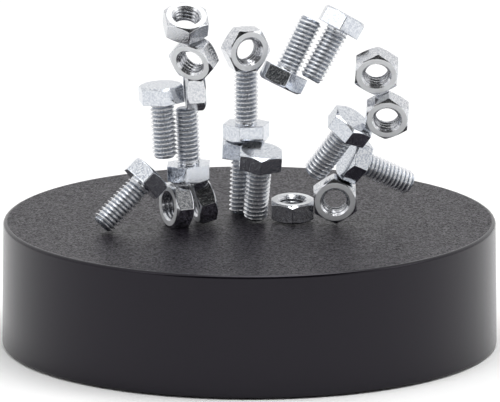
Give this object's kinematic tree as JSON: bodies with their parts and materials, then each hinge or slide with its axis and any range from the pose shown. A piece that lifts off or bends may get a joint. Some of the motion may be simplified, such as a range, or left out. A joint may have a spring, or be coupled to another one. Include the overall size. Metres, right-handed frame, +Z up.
{
  "type": "magnetic desk sculpture",
  "caption": "Round black magnetic base holding a free-form sculpture of loose bright hexagon bolts and nuts.",
  "frame": {"origin": "centre of the underside of the foot pad, on the table", "axes": "+Z up; the viewer is on the -Y side; +X to the viewer's right"},
  "size_m": [0.08, 0.08, 0.0579],
  "materials": {
    "shell_plastic": "satin black side, finely grained top",
    "cover_plastic": "matt black",
    "ferrite": "sintered dark grey",
    "pad_rubber": "matt rubber",
    "bolt_zinc": "bright zinc plate",
    "nut_zinc": "bright zinc plate"
  },
  "bodies": {
    "base": {"base_shell": "shell_plastic", "ferrite_magnet": "ferrite", "bottom_cover": "cover_plastic", "foot_pad": "pad_rubber"},
    "bolt_left_low": {"bolt_left_low": "bolt_zinc"},
    "nut_left_foot": {"nut_left_foot": "nut_zinc"},
    "nut_left_foot_back": {"nut_left_foot_back": "nut_zinc"},
    "bolt_left_inner": {"bolt_left_inner": "bolt_zinc"},
    "bolt_left_outer": {"bolt_left_outer": "bolt_zinc"},
    "nut_left_shoulder": {"nut_left_shoulder": "nut_zinc"},
    "nut_left_upper": {"nut_left_upper": "nut_zinc"},
    "nut_left_top": {"nut_left_top": "nut_zinc"},
    "bolt_mid_back": {"bolt_mid_back": "bolt_zinc"},
    "bolt_mid_front": {"bolt_mid_front": "bolt_zinc"},
    "bolt_mid_upper": {"bolt_mid_upper": "bolt_zinc"},
    "nut_mid_top": {"nut_mid_top": "nut_zinc"},
    "bolt_mid_branch": {"bolt_mid_branch": "bolt_zinc"},
    "bolt_mid_branch_end": {"bolt_mid_branch_end": "bolt_zinc"},
    "nut_right_flat": {"nut_right_flat": "nut_zinc"},
    "nut_right_standing": {"nut_right_standing": "nut_zinc"},
    "bolt_right_low": {"bolt_right_low": "bolt_zinc"},
    "bolt_right_upper": {"bolt_right_upper": "bolt_zinc"},
    "nut_right_upper": {"nut_right_upper": "nut_zinc"},
    "nut_right_top": {"nut_right_top": "nut_zinc"}
  },
  "joints": [
    {"name": "bolt_left_low_pull_off", "type": "slide", "parent": "base", "child": "bolt_left_low", "axis": [-0.62, -0.17, 0.766], "range_m": [0, 0.02]},
    {"name": "nut_left_foot_pull_off", "type": "slide", "parent": "base", "child": "nut_left_foot", "axis": [0, 0, 1], "range_m": [0, 0.02]},
    {"name": "nut_left_foot_back_pull_off", "type": "slide", "parent": "base", "child": "nut_left_foot_back", "axis": [0.7021, -0.7121, 0], "range_m": [0, 0.02]},
    {"name": "bolt_left_inner_pull_off", "type": "slide", "parent": "nut_left_foot", "child": "bolt_left_inner", "axis": [0, 0, 1], "range_m": [0, 0.02]},
    {"name": "bolt_left_outer_pull_off", "type": "slide", "parent": "bolt_left_inner", "child": "bolt_left_outer", "axis": [-0.5, 0, 0.866], "range_m": [0, 0.02]},
    {"name": "nut_left_shoulder_pull_off", "type": "slide", "parent": "bolt_left_inner", "child": "nut_left_shoulder", "axis": [0, 0, 1], "range_m": [0, 0.02]},
    {"name": "nut_left_upper_pull_off", "type": "slide", "parent": "nut_left_shoulder", "child": "nut_left_upper", "axis": [0, 0, 1], "range_m": [0, 0.02]},
    {"name": "nut_left_top_pull_off", "type": "slide", "parent": "nut_left_upper", "child": "nut_left_top", "axis": [0, 0, 1], "range_m": [0, 0.02]},
    {"name": "bolt_mid_back_pull_off", "type": "slide", "parent": "base", "child": "bolt_mid_back", "axis": [0, 0, 1], "range_m": [0, 0.02]},
    {"name": "bolt_mid_front_pull_off", "type": "slide", "parent": "base", "child": "bolt_mid_front", "axis": [-0.2003, -0.741, 0.6409], "range_m": [0, 0.02]},
    {"name": "bolt_mid_upper_pull_off", "type": "slide", "parent": "bolt_mid_back", "child": "bolt_mid_upper", "axis": [0, 0, 1], "range_m": [0, 0.02]},
    {"name": "nut_mid_top_pull_off", "type": "slide", "parent": "bolt_mid_upper", "child": "nut_mid_top", "axis": [0, 0, 1], "range_m": [0, 0.02]},
    {"name": "bolt_mid_branch_pull_off", "type": "slide", "parent": "nut_mid_top", "child": "bolt_mid_branch", "axis": [0.741, -0.2003, 0.6409], "range_m": [0, 0.02]},
    {"name": "bolt_mid_branch_end_pull_off", "type": "slide", "parent": "bolt_mid_branch", "child": "bolt_mid_branch_end", "axis": [0.769, 0, 0.6392], "range_m": [0, 0.02]},
    {"name": "nut_right_flat_pull_off", "type": "slide", "parent": "base", "child": "nut_right_flat", "axis": [-0.08, 0.9699, 0.23], "range_m": [0, 0.02]},
    {"name": "nut_right_standing_pull_off", "type": "slide", "parent": "base", "child": "nut_right_standing", "axis": [0.4807, -0.1302, 0.8672], "range_m": [0, 0.02]},
    {"name": "bolt_right_low_pull_off", "type": "slide", "parent": "nut_right_standing", "child": "bolt_right_low", "axis": [0.2499, -0.07, 0.9657], "range_m": [0, 0.02]},
    {"name": "bolt_right_upper_pull_off", "type": "slide", "parent": "bolt_right_low", "child": "bolt_right_upper", "axis": [0.22, -0.13, 0.9668], "range_m": [0, 0.02]},
    {"name": "nut_right_upper_pull_off", "type": "slide", "parent": "bolt_right_upper", "child": "nut_right_upper", "axis": [0, 0, 1], "range_m": [0, 0.02]},
    {"name": "nut_right_top_pull_off", "type": "slide", "parent": "nut_right_upper", "child": "nut_right_top", "axis": [0, 0, 1], "range_m": [0, 0.02]}
  ]
}
